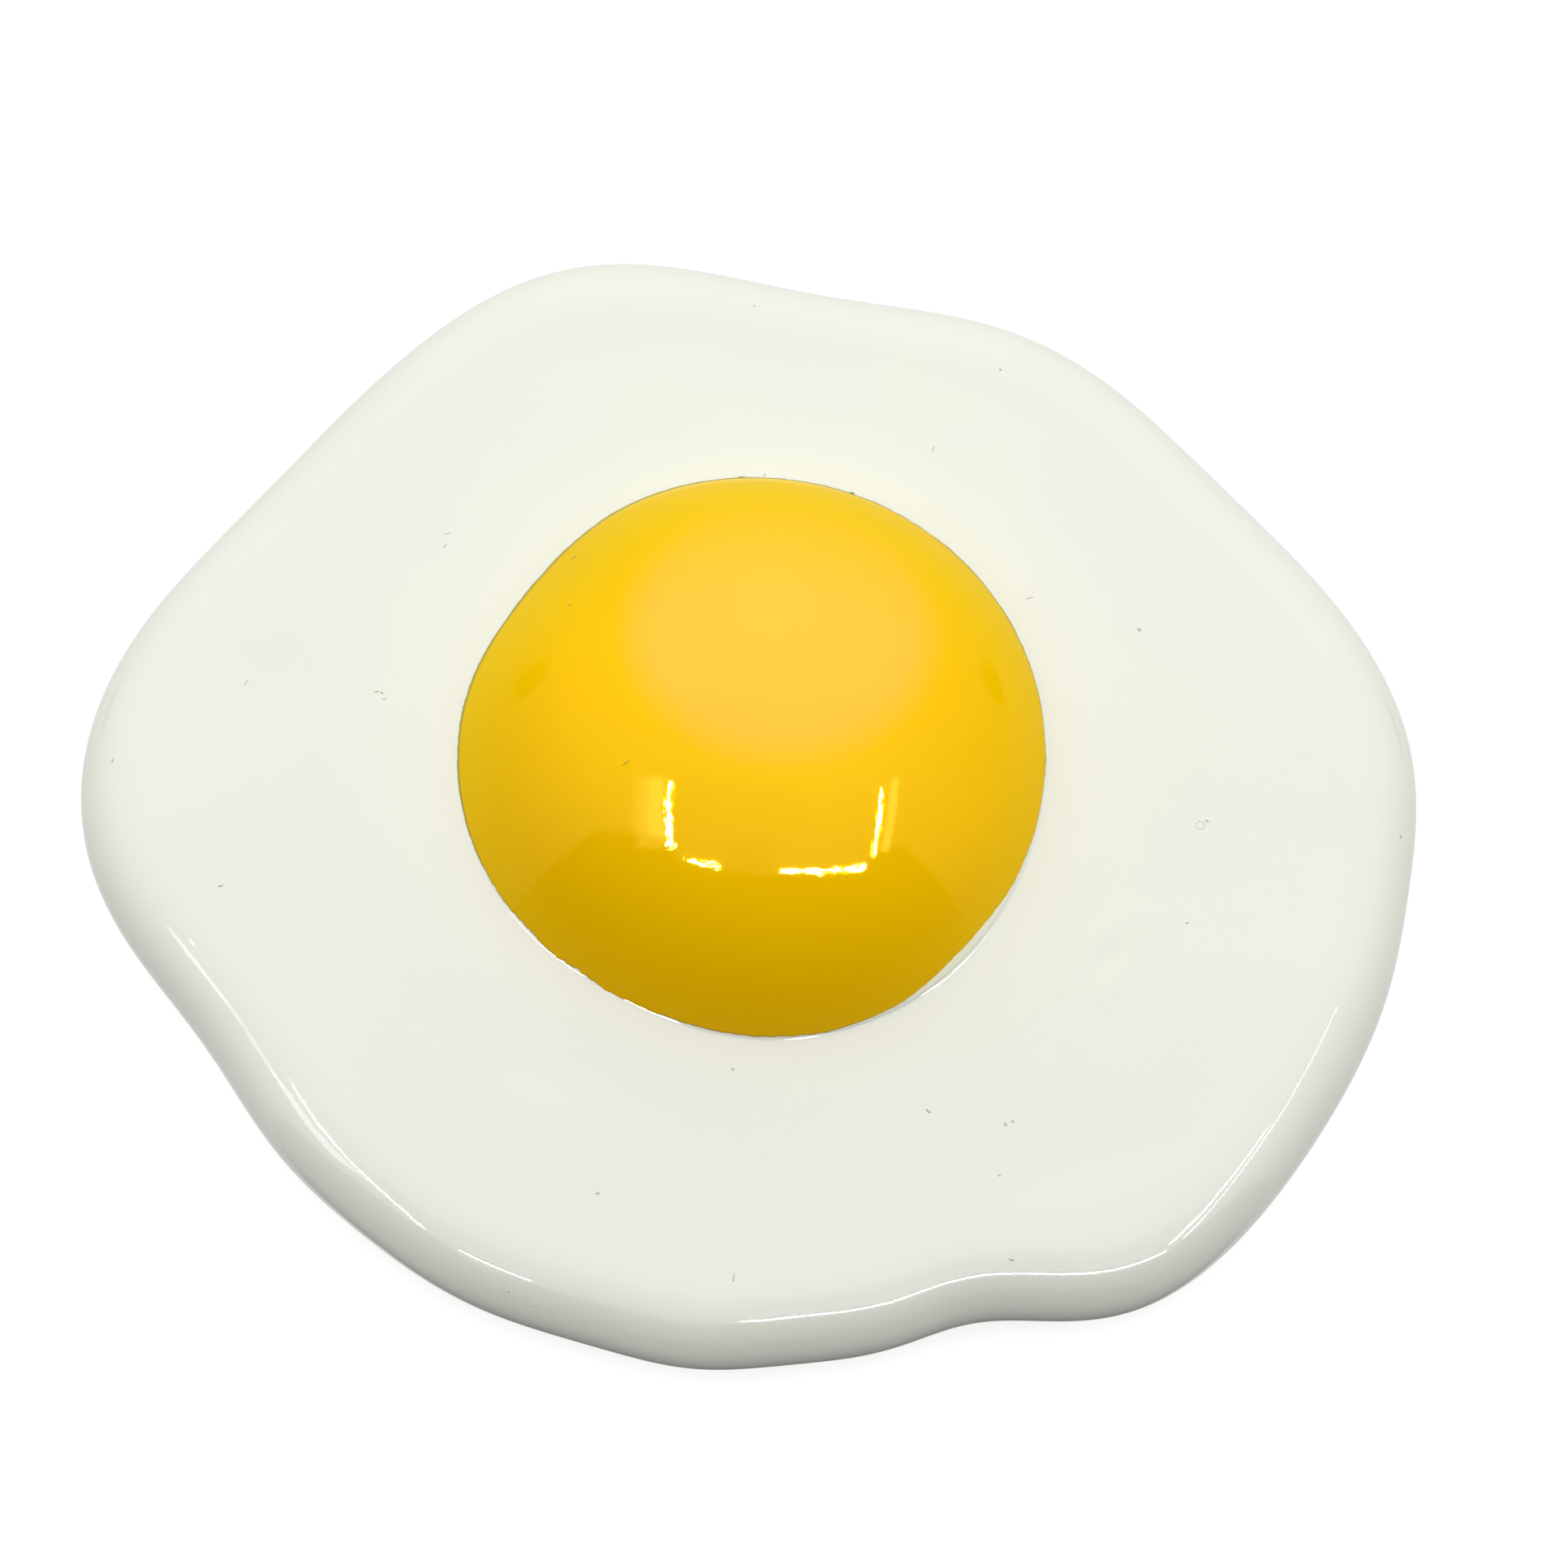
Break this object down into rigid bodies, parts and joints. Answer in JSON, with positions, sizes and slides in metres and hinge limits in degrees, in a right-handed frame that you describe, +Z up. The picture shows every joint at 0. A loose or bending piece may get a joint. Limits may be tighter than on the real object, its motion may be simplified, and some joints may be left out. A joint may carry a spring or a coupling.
{
  "type": "play food fried egg",
  "caption": "Glossy moulded copy of a fried egg, sunny side up: a flat white with a wavy outline and a rounded rim, and a domed yellow yolk standing on it.",
  "frame": {"origin": "on the flat underside, below the middle of the white's outline", "axes": "+X toward the egg's right as it is looked at, along its greatest width; +Y toward its far side; +Z up, out of the yolk"},
  "size_m": [0.11, 0.0962, 0.0236],
  "materials": {
    "white_gloss": "glossy off-white, very slightly warm and green, with fine specks",
    "yolk_gloss": "glossy warm yellow paint with a faint orange-peel texture"
  },
  "bodies": {
    "root": {"egg_white": "white_gloss", "yolk": "yolk_gloss"}
  },
  "joints": []
}
